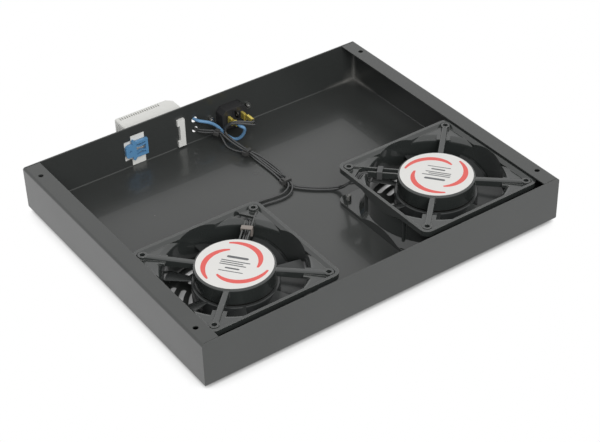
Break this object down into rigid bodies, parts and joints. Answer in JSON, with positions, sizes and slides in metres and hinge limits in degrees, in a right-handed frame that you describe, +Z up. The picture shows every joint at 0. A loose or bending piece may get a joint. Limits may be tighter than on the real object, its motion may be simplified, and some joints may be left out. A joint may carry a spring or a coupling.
{
  "type": "rack fan tray",
  "caption": "folded steel fan tray for a cabinet roof, axial fans over punched vent rings, mains inlet, clip-on thermostat and tied wiring",
  "frame": {"origin": "centre of the four holes in the two top flanges, on the flanges' top face", "axes": "+X along the long walls, +Y towards the wall with the mains inlet and the thermostat, +Z up, out of the open side of the tray"},
  "size_m": [0.35, 0.3156, 0.0439],
  "materials": {
    "tray": "satin",
    "fan_frame": "satin",
    "label": "satin",
    "motor_iron": "satin",
    "steel": "satin",
    "impeller": "satin",
    "left_clip": "matte",
    "right_clip": "matte",
    "dark_screws": "satin",
    "black_plastic": "satin",
    "tin_brass": "satin",
    "brass": "satin",
    "light_plastic": "matte",
    "dial_plastic": "matte",
    "blue_plastic": "satin",
    "bimetal": "satin",
    "blue_wire": "satin",
    "black_wire": "satin",
    "tie_plastic": "matte"
  },
  "bodies": {
    "tray_and_fixed_pieces": {"tray_body": "tray", "left_fan_frame": "fan_frame", "left_fan_label": "label", "left_fan_stator": "motor_iron", "left_fan_bearings": "steel", "left_fan_wire_clip": "left_clip", "left_fan_screws": "dark_screws", "right_fan_frame": "fan_frame", "right_fan_label": "label", "right_fan_stator": "motor_iron", "right_fan_bearings": "steel", "right_fan_wire_clip": "right_clip", "right_fan_screws": "dark_screws", "inlet_body": "black_plastic", "inlet_pins": "tin_brass", "inlet_line_terminal": "brass", "inlet_neutral_terminal": "brass", "inlet_screws": "steel", "inlet_nuts": "steel", "thermostat_base": "light_plastic", "thermostat_cover": "light_plastic", "thermostat_bimetal": "bimetal", "thermostat_clamps": "brass", "thermostat_clamp_screws": "steel", "blue_lead": "blue_wire", "left_fan_line_lead": "black_wire", "left_fan_neutral_lead": "black_wire", "right_fan_line_lead": "black_wire", "right_fan_neutral_lead": "black_wire", "cable_tie_wall": "tie_plastic", "cable_tie_rear": "tie_plastic", "cable_tie_front": "tie_plastic"},
    "left_fan_turning_set": {"left_fan_rotor": "motor_iron", "left_fan_impeller": "impeller", "left_fan_shaft": "steel", "left_fan_retaining_ring": "steel"},
    "right_fan_turning_set": {"right_fan_rotor": "motor_iron", "right_fan_impeller": "impeller", "right_fan_shaft": "steel", "right_fan_retaining_ring": "steel"},
    "dial": {"thermostat_dial": "dial_plastic"},
    "latch": {"thermostat_latch": "blue_plastic"}
  },
  "joints": [
    {"name": "left_fan_spin", "type": "hinge", "parent": "tray_and_fixed_pieces", "child": "left_fan_turning_set", "pos_m": [-0.101, -0.0725, -0.0215], "axis": [0, 0, 1], "continuous": true},
    {"name": "right_fan_spin", "type": "hinge", "parent": "tray_and_fixed_pieces", "child": "right_fan_turning_set", "pos_m": [0.101, -0.0725, -0.0215], "axis": [0, 0, 1], "continuous": true},
    {"name": "thermostat_dial_turn", "type": "hinge", "parent": "tray_and_fixed_pieces", "child": "dial", "pos_m": [-0.049, 0.17, -0.02445], "axis": [0, 1, 0], "range_deg": [-135, 135]},
    {"name": "thermostat_latch_slide", "type": "slide", "parent": "tray_and_fixed_pieces", "child": "latch", "axis": [-1, 0, 0], "range_m": [0, 0.003], "stiffness_N_per_m": 600, "springref_m": -0.001}
  ]
}
